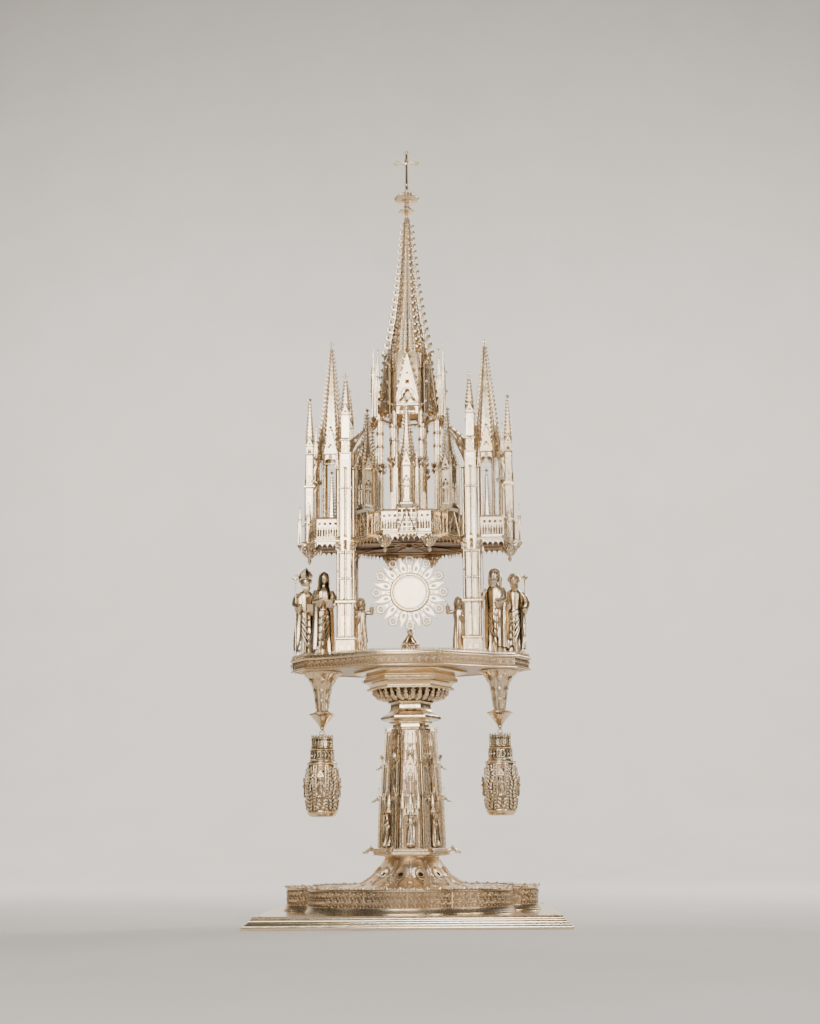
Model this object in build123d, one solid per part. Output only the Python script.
"""A tall processional monstrance in late Gothic style, of gilt silver sheet and castings.

A square moulded plinth carries a lobed foot, a tapered six-sided shaft with niches, and a long tray. On the
tray stand four saints, two angels and four piers under an openwork canopy with a lantern and a spire. The
ray-edged ostensory stands between the piers and lifts out; its glazed chamber opens by a hinged back door.
A tassel-shaped pendant swings from each end of the tray. Millimetres, +Z up, origin under the plinth's centre.
"""

from build123d import *
import math
import os

os.makedirs("parts", exist_ok=True)

# ---- driving dimensions -------------------------------------------------------------------------------
PLINTH_HALF_X, PLINTH_HALF_Y, PLINTH_TOP = 348.0, 335.0, 28.0
PLINTH_SHEET = 2.0
FOOT_HALF_X, FOOT_HALF_Y, FOOT_RIM_TOP = 290.0, 280.0, 82.0
FOOT_JOIN_FRONT = (105.0, 252.0)  # where the front lobe meets the diagonal lobe
FOOT_JOIN_END = (222.0, 76.0)  # where the diagonal lobe meets the end lobe
DOME_FOOT_R, DOME_NECK_R, KNOP_Z, DOME_RIBS = 150.0, 60.0, 150.0, 12
SHEET = 3.0

KNOP_R, KNOP_H = 89.0, 18.0
SHAFT_FOOT_R, SHAFT_HEAD_R, SHAFT_TOP = 66.0, 50.0, 440.0
COLLAR_R, COLLAR_TOP = 71.0, 508.0
LEAF_TOP, CORBEL_TOP_R, TRAY_BOTTOM = 533.0, 134.0, 580.0

TRAY_CORNERS = [(80.0, 138.0), (192.0, 77.0), (247.0, 60.0), (281.0, 0.0)]  # one quarter, then mirrored
TRAY_FLOOR, TRAY_RIM = 606.0, 614.0
PENDANT_X = 209.0

PIER_X, PIER_Y, PIER_W = 148.0, 60.0, 28.0
PIER_TIP = 1300.0
CANOPY_Z, CANOPY_FLOOR_T, PARAPET_TOP = 885.0, 8.0, 943.0
CANOPY_APOTHEM = 130.0
SIDE_TOWER_X, SIDE_FLOOR_R, SIDE_TOWER_R = 187.0, 62.0, 30.0
SIDE_HEAD_Z, SIDE_SPIRE_TIP = 1100.0, 1394.0
OUTER_X, OUTER_W, OUTER_TIP = 240.0, 22.0, 1252.0

LANTERN_R, LANTERN_HEAD_Z, LANTERN_GABLE_Z = 69.0, 1213.0, 1340.0
SPIRE_FOOT_R, SPIRE_TIP, SPIRE_TIP_R = 60.0, 1712.0, 6.5
GLOBE_Z, CROSS_FOOT, CROSS_TOP = 1761.0, 1786.0, 1890.0

SUN_Z, SUN_RING_R, SUN_HOLE_R = 770.0, 46.0, 38.5
RAY_COUNT, RAY_HEAD_AT, RAY_HEAD_R, RAY_TIP = 12, 80.0, 11.5, 92.0
ROD_R, ROD_BORE_R = 5.0, 5.6
NUT_R, NUT_H, NUT_SEAT = 10.0, 5.0, 14.0
SPIGOT_R, SPIGOT_L, SPIGOT_PLAY = 4.0, 12.0, 0.05

HEX, OCT, SQUARE = 6, 8, 4
FLAT_FRONT_OCT = 22.5  # turn that gives an octagon a side facing the front
HEX_ANGLES = [60 * i for i in range(HEX)]


# ---- helpers ------------------------------------------------------------------------------------------
def save(name, *shapes):
    """Writes one node: all the solids of the shapes given."""
    solids = [s for shape in shapes for s in shape.solids()]
    export_step(Compound(solids), f"parts/{name}.step")


def polar(radius, degrees):
    a = math.radians(degrees)
    return radius * math.cos(a), radius * math.sin(a)


def prism(sides, r, z0, z1, at=(0, 0), turn=0.0):
    """Upright prism on a regular polygon of corner radius r."""
    base = Pos(at[0], at[1], z0) * RegularPolygon(r, sides, rotation=turn)
    return extrude(base, z1 - z0)


def stack(sides, sections, at=(0, 0), turn=0.0):
    """Solid through regular polygons, given as (corner radius, height)."""
    faces = [Pos(at[0], at[1], z) * RegularPolygon(r, sides, rotation=turn) for r, z in sections]
    return loft(faces, ruled=True)


def shell_stack(sides, sections, wall, at=(0, 0), turn=0.0):
    """The same, hollow and open at both ends."""
    inner = [(r - wall, z) for r, z in sections]
    inner[0] = (inner[0][0], inner[0][1] - 0.01)
    inner[-1] = (inner[-1][0], inner[-1][1] + 0.01)
    return stack(sides, sections, at, turn) - stack(sides, inner, at, turn)


def turned(profile, at=(0, 0)):
    """Solid of revolution about an upright axis, from (radius, height) corners."""
    outline = make_face(Plane.XZ * Polyline(*profile, close=True))
    return Pos(at[0], at[1], 0) * revolve(outline, Axis.Z)


def rod(r, z0, z1, at=(0, 0)):
    return Pos(at[0], at[1], z0) * extrude(Circle(r), z1 - z0)


def block(x0, x1, y0, y1, z0, z1):
    return Pos(x0, y0, z0) * Box(x1 - x0, y1 - y0, z1 - z0, align=(Align.MIN, Align.MIN, Align.MIN))


def pinnacle(at, w, z0, shoulder, tip, turn=45.0):
    """Square pinnacle of side w: a straight shaft with a slim pyramid on it."""
    r = w / math.sqrt(2)
    sections = [(r, z0), (r, shoulder), (1.25 * r, shoulder + 1), (1.25 * r, shoulder + 4), (0.9 * r, shoulder + 6)]
    return stack(SQUARE, sections + [(0.6, tip)], at, turn)


def upright_plate(points, thickness, along, at, centre=(0, 0)):
    """Plate on an upright plane at distance at from centre, facing along degrees; points are (sideways, height)."""
    face = make_face(Plane.XZ * Polyline(*points, close=True))
    plate = extrude(face, thickness / 2, both=True)
    return Pos(centre[0], centre[1], 0) * Rot(0, 0, along + 90) * Pos(0, -at, 0) * plate


def gable_outline(half, z0, z1, leg):
    """Steep gable with a pointed opening between its legs."""
    spring = z0 + 0.18 * (z1 - z0)
    opening = [(half - leg, z0), (0.72 * (half - leg), spring), (0, z0 + 0.42 * (z1 - z0))]
    opening += [(-x, z) for x, z in opening[1::-1]]
    return [(-half, z0), (0, z1), (half, z0), *opening]


# ---- plinth and foot ----------------------------------------------------------------------------------
def plinth():
    """Moulded metal cover over a board."""
    steps = [(0, 0), (0, 6), (4, 7), (10, 11), (15, 18), (17, 22), (20, 23), (20, PLINTH_TOP)]
    faces = [Pos(0, 0, z) * Rectangle(2 * (PLINTH_HALF_X - d), 2 * (PLINTH_HALF_Y - d)) for d, z in steps]
    inset = steps[-1][0] + PLINTH_SHEET
    core_x, core_y, core_top = PLINTH_HALF_X - inset, PLINTH_HALF_Y - inset, PLINTH_TOP - PLINTH_SHEET
    core = block(-core_x, core_x, -core_y, core_y, 0, core_top)
    bore = rod(ROD_BORE_R, -1, PLINTH_TOP + 1)
    save("plinth_cover", loft(faces, ruled=True) - core - bore)
    save("plinth_core", core - bore - rod(NUT_R + 4, -1, NUT_SEAT))


def lobed_outline(grow=0.0):
    """Eight-lobed outline of the foot, grown outwards by grow."""
    fx, fy = FOOT_JOIN_FRONT
    ex, ey = FOOT_JOIN_END
    edges = []
    for sx in (1, -1):
        for sy in (1, -1):
            edges.append(ThreePointArc((0, sy * FOOT_HALF_Y), (sx * 60, sy * 272), (sx * (fx - 10), sy * fy)))
            edges.append(Line((sx * (fx - 10), sy * fy), (sx * 126, sy * 240)))
            edges.append(ThreePointArc((sx * 126, sy * 240), (sx * 205, sy * 190), (sx * ex, sy * ey)))
            edges.append(ThreePointArc((sx * ex, sy * ey), (sx * 272, sy * 52), (sx * FOOT_HALF_X, 0)))
    face = make_face(edges)
    return offset(face, grow, kind=Kind.INTERSECTION) if grow else face


def ring_stack(outline, bands, well_grow):
    """Upright band from (grow, low, high) slices of an outline, hollowed to the outline grown by well_grow."""
    made = None
    for grow, z0, z1 in bands:
        slab = extrude(Pos(0, 0, z0) * outline(grow), z1 - z0)
        made = slab if made is None else made + slab
    low, high = bands[0][1], bands[-1][2]
    return made - extrude(Pos(0, 0, low - 1) * outline(well_grow), high - low + 2)


def foot():
    """Upright lobed gallery, the concave dome and deck that it surrounds, and the board that fills them."""
    floor, deck_top = PLINTH_TOP, FOOT_RIM_TOP - 2
    bands = [(7, floor, floor + 5), (4, floor + 5, floor + 11), (0, floor + 11, FOOT_RIM_TOP - 4)]
    bands.append((3, FOOT_RIM_TOP - 4, FOOT_RIM_TOP))
    save("foot_gallery", ring_stack(lobed_outline, bands, -SHEET))

    under = deck_top - SHEET
    slopes = [(118, 88), (93, 103), (75, 124), (DOME_NECK_R + 4, KNOP_Z - 8), (DOME_NECK_R, KNOP_Z)]
    inside = [(DOME_FOOT_R - 6, under)] + [(r - SHEET - 1.5, z - SHEET) for r, z in slopes]
    crown = [(ROD_BORE_R, KNOP_Z), (ROD_BORE_R, KNOP_Z - SHEET)]
    dome = turned([(DOME_FOOT_R, under), (DOME_FOOT_R, deck_top), *slopes, *crown, *reversed(inside)])
    for k in range(DOME_RIBS):
        for r, z, hole in ((90.0, 100.0, 6.0), (105.0, 90.0, 4.0)):
            x, y = polar(r, 360 / DOME_RIBS * (k + 0.5))
            dome -= rod(hole, z - 25, z + 25, (x, y))
    deck = extrude(Pos(0, 0, under) * lobed_outline(-SHEET), SHEET) - rod(DOME_FOOT_R - 4, 0, FOOT_RIM_TOP)
    save("foot_dome", deck + dome)

    board = extrude(Pos(0, 0, floor) * lobed_outline(-SHEET), under - floor)
    turned_core = turned([(0, floor), (inside[0][0], floor), *inside, (0, inside[-1][1])])
    save("foot_core", board + turned_core - rod(ROD_BORE_R, 0, KNOP_Z))


# ---- shaft --------------------------------------------------------------------------------------------
def small_beast(tip_r, root_r, z, degrees, w=6.0):
    """Little spout that leans out from a corner."""
    points = [(root_r, z - 3), (tip_r - 5, z - 4), (tip_r, z - 7), (tip_r, z - 1)]
    points += [(tip_r - 5, z + 3), (root_r, z + 4)]
    face = make_face(Plane.XZ * Polyline(*points, close=True))
    return Rot(0, 0, degrees) * extrude(face, w / 2, both=True)


def shaft_radius(z):
    share = (z - KNOP_Z - KNOP_H) / (SHAFT_TOP - KNOP_Z - KNOP_H)
    return SHAFT_FOOT_R + (SHAFT_HEAD_R - SHAFT_FOOT_R) * share


TIERS = [(168.0, 290.0, 79.0, 74.0), (290.0, 365.0, 71.0, 67.0), (365.0, 440.0, 64.5, 59.0)]


def shaft():
    """Knop plate, tapered tube, stepped corner buttresses, and a statuette under a canopy on each face."""
    foot_z = KNOP_Z + KNOP_H
    edge = [(KNOP_R - 12, KNOP_Z), (KNOP_R - 4, KNOP_Z + 4), (KNOP_R, KNOP_Z + 5)]
    plate = stack(HEX, edge + [(KNOP_R, foot_z - 3), (KNOP_R - 4, foot_z)])
    save("knop_plate", plate - rod(ROD_BORE_R, KNOP_Z - 1, foot_z + 1) - prism(HEX, 40, KNOP_Z + SHEET, foot_z + 1))

    envelope = [(SHAFT_FOOT_R, foot_z), (SHAFT_HEAD_R, SHAFT_TOP)]
    outer = stack(HEX, envelope)
    save("shaft_core", shell_stack(HEX, envelope, SHEET))

    buttresses = []
    for degrees in HEX_ANGLES:
        bar = None
        for z0, z1, r0, r1 in TIERS:
            w = 11 if z0 < 200 else 9
            faces = [Pos(r / 2 + 20, 0, z) * Rectangle(r - 40, w) for r, z in ((r0, z0), (r1, z1))]
            tier = loft(faces, ruled=True)
            bar = tier if bar is None else bar + tier
        buttresses.append(Rot(0, 0, degrees) * bar - outer)
    save("shaft_buttresses", *buttresses)

    statuettes, canopies = [], []
    for degrees in HEX_ANGLES:
        at = polar(shaft_radius(200) * math.cos(math.pi / 6) + 9.0, degrees + 30)
        rows = [(0, 0), (9, 0), (8, 20), (6.5, 45), (7.5, 52), (3, 57), (5, 60), (5, 67), (2, 71), (0, 71)]
        statuettes.append(turned([(r, foot_z + z) for r, z in rows], at) - outer)
        rows = [(6, 76), (10, 80), (10, 90), (8, 92), (5, 118), (1, 140)]
        near = polar(shaft_radius(260) * math.cos(math.pi / 6) + 5.0, degrees + 30)
        canopies.append(stack(HEX, [(r, foot_z + z) for r, z in rows], near, degrees) - outer)
    save("niche_statuettes", *statuettes)
    save("niche_canopies", *canopies)

    beasts = [small_beast(110, KNOP_R - 1.5, KNOP_Z + 10, a) for a in HEX_ANGLES]
    beasts += [small_beast(87, 73.5, 278, a, 5) for a in HEX_ANGLES]
    beasts += [small_beast(78, 65.4, 352, a, 5) for a in HEX_ANGLES]
    save("gargoyles", *[beast - plate - bar for beast, bar in zip(beasts, buttresses * 3)])


def neck():
    """Six-sided concave collar, a ring of leaves, and the stepped corbel under the tray."""
    collar = [(48, SHAFT_TOP), (48, 446), (42, 449), (42, 455), (50, 458), (62, 462)]
    collar += [(COLLAR_R, 466), (COLLAR_R, 473)]
    collar += [(60, 477), (52, 484), (48, 494), (48, 503), (53, 505), (53, COLLAR_TOP)]
    save("neck_collar", shell_stack(HEX, collar, SHEET))
    leaves = [(50, COLLAR_TOP), (56, 512), (70, 520), (84, 527), (84, LEAF_TOP)]
    save("corbel_leaves", shell_stack(HEX, leaves, SHEET))
    steps = [(97, LEAF_TOP), (103, 534), (103, 539), (97, 541), (100, 548), (111, 552), (111, 562), (107, 564)]
    steps += [(116, 569), (130, 573), (CORBEL_TOP_R, 575), (CORBEL_TOP_R, TRAY_BOTTOM)]
    bottom = prism(HEX, 96, LEAF_TOP, LEAF_TOP + SHEET) - rod(ROD_BORE_R, 500, TRAY_RIM)
    save("tray_corbel", shell_stack(HEX, steps, SHEET) + bottom)


# ---- tray ---------------------------------------------------------------------------------------------
def tray_outline(grow=0.0):
    """Long twelve-sided outline of the tray, grown outwards by grow."""
    quarter = TRAY_CORNERS[:-1]
    tip = TRAY_CORNERS[-1][0]
    right = quarter + [(tip, 0)] + [(x, -y) for x, y in reversed(quarter)]
    left = [(-x, -y) for x, y in right]
    face = make_face(Polyline(*right, *left, close=True))
    return offset(face, grow, kind=Kind.INTERSECTION) if grow else face


def tray():
    """Moulded band round a sheet floor, a board and a sheet soffit."""
    floor_under = TRAY_FLOOR - 4
    bands = [(3, TRAY_BOTTOM, TRAY_BOTTOM + 3), (0, TRAY_BOTTOM + 3, TRAY_FLOOR - 1)]
    bands += [(4, TRAY_FLOOR - 1, TRAY_FLOOR + 3), (1, TRAY_FLOOR + 3, TRAY_RIM)]
    save("tray_fascia", ring_stack(tray_outline, bands, -SHEET))
    inner = tray_outline(-SHEET)
    boss_z = TRAY_FLOOR - SPIGOT_L - 4
    boss = rod(SPIGOT_R + 4, boss_z, floor_under)
    floor = extrude(Pos(0, 0, floor_under) * inner, TRAY_FLOOR - floor_under) + boss
    save("tray_floor", floor - rod(SPIGOT_R + SPIGOT_PLAY, TRAY_FLOOR - SPIGOT_L - 1, TRAY_RIM))
    soffit_top = TRAY_BOTTOM + SHEET
    soffit = extrude(Pos(0, 0, TRAY_BOTTOM) * inner, SHEET)
    save("tray_soffit", soffit - rod(ROD_BORE_R, TRAY_BOTTOM - 1, TRAY_FLOOR))
    board = extrude(Pos(0, 0, soffit_top) * inner, floor_under - soffit_top)
    save("tray_core", board - rod(NUT_R + 2, TRAY_BOTTOM, TRAY_FLOOR))


def nut(z):
    return prism(HEX, NUT_R, z, z + NUT_H) - rod(ROD_R, z - 1, z + NUT_H + 1)


def tie_rod():
    """Central rod that clamps the stand, with a nut at each end."""
    soffit_top = TRAY_BOTTOM + SHEET
    save("tie_rod", rod(ROD_R, NUT_SEAT - NUT_H - 3, soffit_top + NUT_H + 1))
    save("tie_nuts", nut(NUT_SEAT - NUT_H), nut(soffit_top))


# ---- pendants -----------------------------------------------------------------------------------------
EYE_R, EYE_WIRE, LINK_R, LINK_WIRE, LINK_GAP = 5.5, 1.5, 6.0, 1.2, 0.15
EYE_Z = 437.0
LINK_HINGE_Z = EYE_Z - EYE_R
LINK_Z = LINK_HINGE_Z + EYE_WIRE + LINK_WIRE + LINK_GAP - LINK_R
PENDANT_HINGE_Z = LINK_Z - LINK_R
PENDANT_EYE_Z = PENDANT_HINGE_Z + LINK_WIRE + EYE_WIRE + LINK_GAP - EYE_R


def ring(r, wire, at, facing):
    """Wire ring whose hole opens along facing, X or Y."""
    turn = Rot(90, 0, 0) if facing == "Y" else Rot(0, 90, 0)
    return Pos(*at) * turn * Torus(r, wire)


def pendants():
    """Trumpet brackets and saucers that are fixed, and the links, crowns and barrels that swing."""
    brackets, saucers = [], []
    for side, name in ((-1, "left"), (1, "right")):
        at = (side * PENDANT_X, 0)
        trumpet = [(0, TRAY_BOTTOM), (46, TRAY_BOTTOM), (44, 575), (33, 564), (24, 548), (18, 528), (14.5, 500)]
        brackets.append(turned(trumpet + [(13.5, 484), (0, 484)], at))
        bowl = [(0, 484), (20, 484), (30, 482), (31, 479), (26, 476), (14, 462), (7, 452), (4, 448)]
        eye_top = EYE_Z + EYE_R
        saucers.append(turned(bowl + [(3, eye_top), (0, eye_top)], at) + ring(EYE_R, EYE_WIRE, (*at, EYE_Z), "Y"))
        save(f"link_{name}", ring(LINK_R, LINK_WIRE, (*at, LINK_Z), "X"))
        top = PENDANT_EYE_Z - EYE_R
        cup = [(0, top), (3.5, top), (4.5, 404), (6, 401), (22, 401), (22, 427), (23, 429), (26, 429), (26, 424)]
        cup += [(24.5, 422), (24.5, 403), (27, 400), (29, 397), (29, 379), (30, 376), (30, 371), (27, 369), (0, 369)]
        eye = ring(EYE_R, EYE_WIRE, (*at, PENDANT_EYE_Z), "Y")
        save(f"pendant_crown_{name}", turned(cup, at) + eye)
        barrel = [(0, 369), (31, 369), (35, 364), (36, 356), (38, 330), (39.5, 302), (38, 280), (34, 258)]
        barrel += [(30.5, 246), (28, 242), (24, 242), (27, 262), (31, 300), (28, 340), (0, 350)]
        save(f"pendant_barrel_{name}", turned(barrel, at))
    save("pendant_brackets", *brackets)
    save("pendant_saucers", *saucers)


# ---- piers and canopy ---------------------------------------------------------------------------------
def pier(x, y):
    """Clustered pier of sheet in one piece, from the tray to its needle, open below."""
    w = PIER_W
    half, foot = w / 2, w / 2 + 8
    body = block(x - foot, x + foot, y - foot, y + foot, TRAY_FLOOR, 652)
    body += block(x - foot + 2, x + foot - 2, y - foot + 2, y + foot - 2, 652, 735)
    body += block(x - foot, x + foot, y - foot, y + foot, 735, 741)
    body += block(x - half, x + half, y - half, y + half, 741, 1095)
    slim = half - 3
    body += block(x - slim, x + slim, y - slim, y + slim, 1095, 1185)
    body -= block(x - foot + 5, x + foot - 5, y - foot + 5, y + foot - 5, TRAY_FLOOR - 1, 732)
    body -= block(x - half + 3, x + half - 3, y - half + 3, y + half - 3, 731, 1092)
    needle = [(slim * 1.414, 1185), (slim * 1.6, 1187), (slim * 1.6, 1190), (slim * 1.2, 1193), (0.6, PIER_TIP)]
    return body + stack(SQUARE, needle, (x, y), 45)


def canopy_outline(grow=0.0):
    """Octagonal centre bay, six-sided end bays, and the strip that joins them between the piers."""
    face = RegularPolygon((CANOPY_APOTHEM + grow) / math.cos(math.pi / OCT), OCT, rotation=FLAT_FRONT_OCT)
    for side in (-1, 1):
        face += Pos(side * SIDE_TOWER_X, 0) * RegularPolygon(SIDE_FLOOR_R + grow, HEX)
        face += Pos(side * PIER_X, 0) * Rectangle(60, 2 * (PIER_Y - PIER_W / 2))
    return face


def shaft_cutters():
    """Boxes in the place of the piers and outer buttresses, for cutting what butts against them."""
    half, outer = PIER_W / 2, OUTER_W / 2
    cutters = []
    for sx in (-1, 1):
        for sy in (-1, 1):
            x, y = sx * PIER_X, sy * PIER_Y
            cutters.append(block(x - half, x + half, y - half, y + half, 741, 1185))
        x0, x1 = sorted((sx * (OUTER_X - outer), sx * (OUTER_X + 3 * outer)))
        cutters.append(block(x0, x1, -outer, outer, 741, 1185))
    return cutters


def without(shape, cutters):
    for cutter in cutters:
        shape = shape - cutter
    return shape


def pierced_panel(half, shift, along, lights):
    """Parapet panel with pointed openings, on the face that looks along degrees."""
    z0, z1, thick = CANOPY_Z + CANOPY_FLOOR_T, PARAPET_TOP, 4.0
    out = CANOPY_APOTHEM - thick / 2
    frame = [(shift - half, z0), (shift + half, z0), (shift + half, z1), (shift - half, z1)]
    panel = upright_plate(frame, thick, along, out)
    pitch = 2 * half / lights
    for k in range(lights):
        s = shift - half + pitch * (k + 0.5)
        w = pitch * 0.3
        lancet = [(s - w, z0 + 8), (s + w, z0 + 8), (s + w, z1 - 18), (s, z1 - 9), (s - w, z1 - 18)]
        panel -= upright_plate(lancet, thick * 3, along, out)
    return panel


def parapet_walls():
    """Upright panels round the centre bay and the two end bays."""
    z0, z1, thick = CANOPY_Z + CANOPY_FLOOR_T, PARAPET_TOP, 4.0
    width = 2 * CANOPY_APOTHEM * math.tan(math.pi / OCT)
    panels = [pierced_panel(width / 2 - 5, 0, along, 6) for along in (-90, 90)]
    for along, shift in ((-135, 11), (-45, -11), (45, 11), (135, -11)):
        panels.append(pierced_panel(width / 2 - 16, shift, along, 5))
    apothem = SIDE_FLOOR_R * math.cos(math.pi / 6)
    for side in (-1, 1):
        for tilt in (30, -30):
            along = tilt if side > 0 else 180 - tilt
            frame = [(-22, z0), (22, z0), (22, z1), (-22, z1)]
            panels.append(upright_plate(frame, thick, along, apothem - thick / 2, (side * SIDE_TOWER_X, 0)))
        for sy in (-1, 1):
            x0, x1 = sorted((side * (PIER_X + PIER_W / 2), side * (SIDE_TOWER_X + 24)))
            y0, y1 = sorted((sy * apothem, sy * (apothem - thick)))
            panels.append(block(x0, x1, y0, y1, z0, z1))
    return panels


def canopy():
    """Four piers, the floor and walls between them, and what hangs from or stands on the floor."""
    save("canopy_piers", *[pier(sx * PIER_X, sy * PIER_Y) for sx in (-1, 1) for sy in (-1, 1)])

    cutters = shaft_cutters()
    slab = extrude(Pos(0, 0, CANOPY_Z) * canopy_outline(4), 3)
    slab += extrude(Pos(0, 0, CANOPY_Z + 3) * canopy_outline(), CANOPY_FLOOR_T - 3)
    save("canopy_floor", without(slab, cutters))
    save("canopy_parapet", *[without(panel, cutters) for panel in parapet_walls()])

    corner = CANOPY_APOTHEM / math.cos(math.pi / OCT)
    rows = [(0, 0), (13, 0), (14, 6), (10, 18), (5, 26), (3, 30), (4.5, 35), (1, 42), (0, 42)]
    drops = [(r, CANOPY_Z - fall) for r, fall in rows]
    save("canopy_bosses", *[turned(drops, polar(corner - 6, a)) for a in (-112.5, -67.5, 67.5, 112.5)])

    floor_z = CANOPY_Z + CANOPY_FLOOR_T
    save("parapet_turrets", *[turret(a, floor_z) for a in (-90, 90, -45, 45, -135, 135)])


def turret(degrees, floor_z):
    """Six-sided turret over the parapet, carried by a post behind the wall."""
    walls = [(18, PARAPET_TOP), (23, 950), (23, 956), (20, 958), (20, 1040), (23, 1043), (17, 1058)]
    spire = [(8, 1100), (4, 1150), (0.8, 1205)]
    body = stack(HEX, walls + spire, polar(CANOPY_APOTHEM + 4, degrees), degrees + 30)
    hollow = stack(HEX, [(17, 957), (17, 1042), (2, 1090)], polar(CANOPY_APOTHEM + 4, degrees), degrees + 30)
    post = prism(HEX, 8, floor_z, PARAPET_TOP + 1, polar(CANOPY_APOTHEM - 13, degrees), degrees)
    return body - hollow + post


def side_tower(centre):
    """Six posts, a ring and six gables."""
    floor_z, head_top = CANOPY_Z + CANOPY_FLOOR_T, SIDE_HEAD_Z + 12
    made = []
    for degrees in HEX_ANGLES:
        x, y = polar(SIDE_TOWER_R, degrees)
        made.append(prism(HEX, 4.2, floor_z, SIDE_HEAD_Z, (centre[0] + x, centre[1] + y)))
    hole = prism(HEX, SIDE_TOWER_R - 4, SIDE_HEAD_Z - 1, head_top + 1, centre)
    made.append(prism(HEX, SIDE_TOWER_R + 5, SIDE_HEAD_Z, head_top, centre) - hole)
    outline = gable_outline(16, head_top, head_top + 60, 2.6)
    apothem = (SIDE_TOWER_R + 2.5) * math.cos(math.pi / 6)
    made += [upright_plate(outline, 2.4, a + 30, apothem, centre) for a in HEX_ANGLES]
    return made


def outer_buttress(side):
    """Square shaft with its hanging boss and slim pyramid."""
    x, half = side * OUTER_X, OUTER_W / 2
    shape = block(x - half, x + half, -half, half, CANOPY_Z, 1028)
    shape += block(x - half - 3, x + half + 3, -half - 3, half + 3, 1028, 1034)
    rows = [(0, 0), (12, 0), (17, 12), (17, 20), (9, 34), (6, 45), (0, 45)]
    shape += turned([(r, CANOPY_Z - fall) for r, fall in rows], (x, 0))
    upper = [(1.3, 1034), (1.15, 1112), (1.3, 1114), (1.3, 1118), (0.95, 1121), (0.07, OUTER_TIP)]
    return shape + stack(SQUARE, [(half * share, z) for share, z in upper], (x, 0), 45)


def side_bays():
    """End towers with their spires, and the outermost buttresses."""
    towers, spires = [], []
    base = SIDE_HEAD_Z + 12
    profile = [(26.5, base), (26, base + 28), (22, base + 78), (13, base + 153), (6, base + 218)]
    profile.append((1.2, SIDE_SPIRE_TIP))
    for side in (-1, 1):
        centre = (side * SIDE_TOWER_X, 0)
        towers += side_tower(centre)
        spires.append(stack(HEX, profile, centre))
    save("side_towers", *towers)
    save("side_spires", *spires)
    save("outer_buttresses", outer_buttress(-1), outer_buttress(1))


def flier(start, end, z_low, z_high, thickness, depth):
    """Raking arched brace in the upright plane through two plan points, low at start and high at end."""
    dx, dy = end[0] - start[0], end[1] - start[1]
    span = math.hypot(dx, dy)
    rise = z_high - z_low
    heel_z = z_low - 0.35 * rise
    top = Line((0, z_low + depth), (span, z_high + depth))
    fall = Line((span, z_high + depth), (span, z_high))
    arch = ThreePointArc((span, z_high), (0.36 * span, z_low + 0.46 * rise), (0, heel_z))
    heel = Line((0, heel_z), (0, z_low + depth))
    face = make_face(Plane.XZ * Wire([top, fall, arch, heel]))
    turn = math.degrees(math.atan2(dy, dx))
    return Pos(start[0], start[1], 0) * Rot(0, 0, turn) * extrude(face, thickness / 2, both=True)


def fliers(columns):
    """Four braces from the piers to the lantern and two from the outer buttresses to the end towers."""
    made = []
    for sx in (-1, 1):
        for sy in (-1, 1):
            start = (sx * (PIER_X - 12), sy * (PIER_Y - 6))
            end = (sx * (LANTERN_R + 4), sy * 6)
            made.append(without(flier(start, end, 1110, 1168, 5, 9), shaft_cutters() + columns))
        start = (sx * (OUTER_X - 8), 0)
        end = (sx * (SIDE_TOWER_X + SIDE_TOWER_R + 4.2), 0)
        made.append(flier(start, end, 1052, 1080, 4, 7) - outer_buttress(sx))
    return made


# ---- lantern, spire and finial ------------------------------------------------------------------------
def lantern():
    """Six columns, the braces against them, and the ring, gables and pinnacles on top."""
    floor_z, head_top = CANOPY_Z + CANOPY_FLOOR_T, LANTERN_HEAD_Z + 10
    profile = [(8.5, floor_z), (8.5, 955), (6.5, 958), (6.5, 1090), (7.5, 1092), (7.5, 1096), (6.5, 1098)]
    columns = [stack(HEX, profile + [(6.5, LANTERN_HEAD_Z)], polar(LANTERN_R, a)) for a in HEX_ANGLES]
    save("lantern_columns", *columns)
    save("flying_buttresses", *fliers(columns))
    hole = prism(HEX, LANTERN_R - 12, LANTERN_HEAD_Z - 1, head_top + 1)
    head = prism(HEX, LANTERN_R + 8, LANTERN_HEAD_Z, head_top) - hole
    outline = gable_outline(30, head_top, LANTERN_GABLE_Z, 4)
    apothem = (LANTERN_R + 2) * math.cos(math.pi / 6)
    save("lantern_gables", head, *[upright_plate(outline, 3, a + 30, apothem) for a in HEX_ANGLES])
    needles = [pinnacle(polar(LANTERN_R + 3, a), 7, head_top, 1290, 1372, a + 45) for a in HEX_ANGLES]
    save("lantern_pinnacles", *needles)


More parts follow.
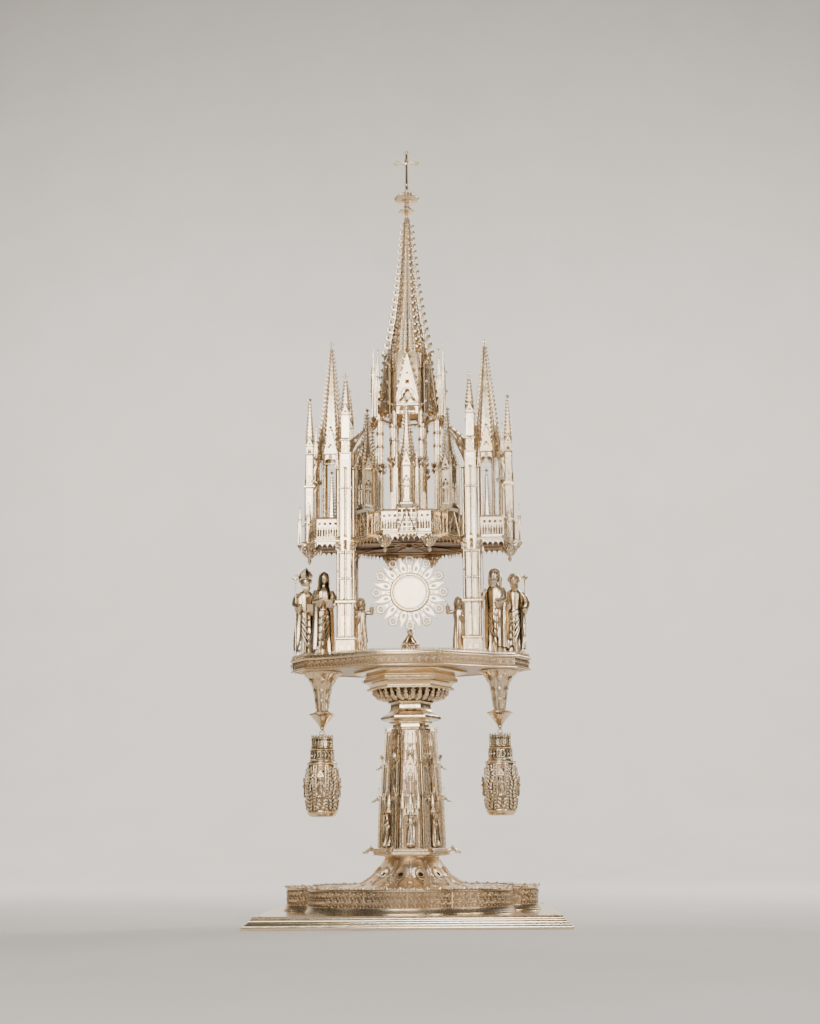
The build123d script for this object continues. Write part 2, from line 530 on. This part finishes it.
def spire():
    head_top = LANTERN_HEAD_Z + 10
    profile = [(SPIRE_FOOT_R, head_top), (57, 1290), (50, 1345), (41, 1390), (31, 1450), (22, 1520)]
    profile += [(15.5, 1590), (10, 1650), (SPIRE_TIP_R, SPIRE_TIP)]
    hollow = [(r - SHEET, z) for r, z in profile[:6]]
    hollow[0] = (hollow[0][0], hollow[0][1] - 0.01)
    save("main_spire", stack(HEX, profile) - stack(HEX, hollow))
    stem = [(0, SPIRE_TIP), (5, SPIRE_TIP), (3.5, 1717), (9, 1721), (20, 1726), (20, 1729), (9, 1733)]
    neck_rows = [(5, 1738), (7.5, 1742), (4.5, 1746), (8, 1750)]
    globe = [(24, 1755), (29.5, 1760), (29.5, 1764), (24, 1769), (12, 1774), (6, 1779), (3, CROSS_FOOT)]
    save("finial", turned(stem + neck_rows + globe + [(0, CROSS_FOOT)]))
    arm_z = CROSS_TOP - 34
    cross = block(-2.4, 2.4, -2, 2, CROSS_FOOT, CROSS_TOP - 6) + block(-26, 26, -2, 2, arm_z - 2.4, arm_z + 2.4)
    for x, z in ((0, CROSS_TOP - 6), (-26, arm_z), (26, arm_z)):
        cross += Pos(x, 0, z) * Sphere(5.2)
    cross += Pos(0, 0, CROSS_FOOT + 7) * Sphere(5)
    save("cross", cross - block(-20, 20, -20, 20, CROSS_FOOT - 20, CROSS_FOOT))


# ---- figures ------------------------------------------------------------------------------------------
def figure(at, height, hat=0.0, reach=None):
    """Standing robed figure. Reach is (sideways, height) of an outstretched hand."""
    x, y = at
    z = TRAY_FLOOR
    rows = [(0.0, 0.105, 0.085), (0.25, 0.098, 0.078), (0.55, 0.092, 0.07), (0.74, 0.11, 0.07)]
    rows += [(0.80, 0.085, 0.06), (0.835, 0.035, 0.035)]
    faces = [Pos(x, y, z + height * h) * Ellipse(height * a, height * b) for h, a, b in rows]
    body = loft(faces, ruled=True)
    head_r = height * 0.078
    body += Pos(x, y, z + height * 0.905) * Sphere(head_r)
    if hat:
        brim, peak = z + height * 0.93, z + height + hat
        rows = [(0, brim), (head_r * 0.95, brim), (head_r * 0.9, z + height * 0.96), (2, peak), (0, peak)]
        body += turned(rows, (x, y))
    if reach:
        sign = 1 if reach[0] > x else -1
        hand_x, hand_z = reach
        arm = [(x, hand_z - 16), (x + sign * 10, hand_z - 18), (hand_x, hand_z - 4), (hand_x, hand_z + 3)]
        arm.append((x, hand_z - 2))
        face = make_face(Plane.XZ * Polyline(*arm, close=True))
        body += Pos(0, y, 0) * extrude(face, 4, both=True)
    return body


def figures():
    save("saint_outer_left", figure((-250, 2), 216, 6))
    save("saint_inner_left", figure((-204, -22), 220, 4))
    save("saint_inner_right", figure((202, -22), 220, 6))
    save("saint_outer_right", figure((248, 2), 212, 4))
    save("angel_left", figure((-116, -16), 150, 0, (-91, 738)))
    save("angel_right", figure((116, -16), 150, 0, (91, 738)))


# ---- ostensory ----------------------------------------------------------------------------------------
PLATE_T = 3.0
BEZEL_Y, GLASS_T = 6.0, 1.5
HINGE_X, HINGE_Y, HINGE_R = 50.0, 4.6, 1.0
DOOR_GAP, PIN_PLAY = 0.3, 0.05
KNUCKLE_R, KNUCKLE_Z = 2.2, 4.9
LATCH_Y, LATCH_T, LATCH_PIN_R = 6.2, 1.4, 1.6


def disc(r, y0, y1, hole=0.0, z=SUN_Z):
    """Disc facing front, from y0 to y1."""
    face = Circle(r) - Circle(hole) if hole else Circle(r)
    return Pos(0, y1, z) * Rot(90, 0, 0) * extrude(face, y1 - y0)


def disc_at(x, r):
    """Long cutter along Y for a bore at height SUN_Z."""
    return Pos(x, -30, SUN_Z) * Rot(-90, 0, 0) * extrude(Circle(r), 60)


def ray(degrees):
    """Round-headed ray with a hole in its head."""
    neck, foot = 2.6, 6.0
    near, far = SUN_RING_R - 3, RAY_HEAD_AT - 6
    arm = Polyline((near, -foot), (far, -neck), (far, neck), (near, foot), close=True)
    face = make_face(arm) + Pos(RAY_HEAD_AT, 0) * Circle(RAY_HEAD_R) - Pos(RAY_HEAD_AT, 0) * Circle(4.6)
    return Rot(0, 0, degrees) * face


def flame(degrees):
    """Drop-shaped ray that ends in a point."""
    edge = [(SUN_RING_R - 3, 3), (54, 7), (62, 6.4), (70, 1.6), (RAY_TIP, 0.6)]
    body = Polyline(*edge, *[(x, -y) for x, y in reversed(edge)], close=True)
    return Rot(0, 0, degrees) * make_face(body)


def knuckle(z0, z1, root_y):
    """Hinge barrel with the tab that ties it to the plate."""
    tab = block(HINGE_X - 1, HINGE_X + 1.4, root_y, HINGE_Y, z0, z1)
    return rod(KNUCKLE_R, z0, z1, (HINGE_X, HINGE_Y)) + tab


def sun_plate():
    """Ring with its rays, two hinge barrels and the latch pin."""
    step, half = 360 / RAY_COUNT, PLATE_T / 2
    face = Circle(SUN_RING_R) - Circle(SUN_HOLE_R)
    for k in range(RAY_COUNT):
        face += ray(90 + step * k)
        face += flame(90 + step * (k + 0.5))
    plate = Pos(0, half, SUN_Z) * Rot(90, 0, 0) * extrude(face, PLATE_T)
    plate += knuckle(SUN_Z - 12, SUN_Z - KNUCKLE_Z - DOOR_GAP, half)
    plate += knuckle(SUN_Z + KNUCKLE_Z + DOOR_GAP, SUN_Z + 12, half)
    plate -= rod(HINGE_R, SUN_Z - 20, SUN_Z + 20, (HINGE_X, HINGE_Y))
    outward = Pos(-HINGE_X, 0, SUN_Z) * Rot(-90, 0, 0)
    head = Pos(0, 0, LATCH_Y + LATCH_T + 0.1) * extrude(Circle(2.6), 1.0)
    return plate + outward * (extrude(Circle(LATCH_PIN_R), LATCH_Y + LATCH_T + 0.2) + head)


def door():
    """Back frame with its hinge barrel, and the glass and disc that it carries."""
    inner, recess = PLATE_T / 2 + DOOR_GAP, PLATE_T / 2 + DOOR_GAP + 3.0
    rim = disc(SUN_RING_R - 1, inner, BEZEL_Y, SUN_HOLE_R - 3) - disc(SUN_HOLE_R - 1, inner - 1, recess)
    arm = block(SUN_RING_R - 4, HINGE_X, HINGE_Y - 1, HINGE_Y + 1, SUN_Z - KNUCKLE_Z, SUN_Z + KNUCKLE_Z)
    barrel = rod(KNUCKLE_R, SUN_Z - KNUCKLE_Z, SUN_Z + KNUCKLE_Z, (HINGE_X, HINGE_Y))
    frame = rim + (arm - disc(SUN_RING_R - 1, 0, 10)) + barrel
    save("back_bezel", frame - rod(HINGE_R + PIN_PLAY, SUN_Z - 20, SUN_Z + 20, (HINGE_X, HINGE_Y)))
    save("back_glass", disc(SUN_HOLE_R - 3.2, recess, BEZEL_Y))
    save("exposition_disc", disc(SUN_HOLE_R - 1.2, recess - 1.4, recess))


def ostensory():
    """Sun on a stem and round foot, with its front glass and hinged back door."""
    half = PLATE_T / 2
    save("sun_rays", sun_plate())
    head_z = SUN_Z + 12
    pin = rod(HINGE_R, SUN_Z - 13, head_z, (HINGE_X, HINGE_Y))
    save("hinge_pin", pin + rod(1.9, head_z, head_z + 1.5, (HINGE_X, HINGE_Y)))
    seat = half + GLASS_T
    bezel = disc(SUN_RING_R - 1, -BEZEL_Y, -half, SUN_HOLE_R - 2) - disc(SUN_HOLE_R, -seat, -half + 1)
    save("front_bezel", bezel)
    save("front_glass", disc(SUN_HOLE_R - 0.2, -seat, -half))
    door()
    latch = Pos(-HINGE_X, LATCH_Y, SUN_Z - 5.5) * Rot(-90, 0, 0) * extrude(SlotOverall(18, 6, rotation=90), LATCH_T)
    save("door_latch", latch - disc_at(-HINGE_X, LATCH_PIN_R + PIN_PLAY))

    stem_top = SUN_Z - RAY_HEAD_AT - RAY_HEAD_R + 2
    lip = [(0, TRAY_FLOOR), (27, TRAY_FLOOR), (27, 611), (24, 613), (22, 616), (21, 640), (22.5, 642)]
    spigot = rod(SPIGOT_R, TRAY_FLOOR - SPIGOT_L, TRAY_FLOOR)
    save("ostensory_foot", turned(lip + [(22.5, 645), (20, 646), (0, 646)]) + spigot)
    knob = [(0, 646), (20, 646), (17, 652), (11, 660), (7, 666), (6, 670), (8, 672.5), (6, 676), (4.5, stem_top + 3)]
    slot = block(-20, 20, -half, half, stem_top - 2, SUN_Z)
    save("ostensory_stem", turned(knob + [(0, stem_top + 3)]) - slot)


plinth()
foot()
shaft()
neck()
tray()
tie_rod()
pendants()
canopy()
side_bays()
lantern()
spire()
figures()
ostensory()
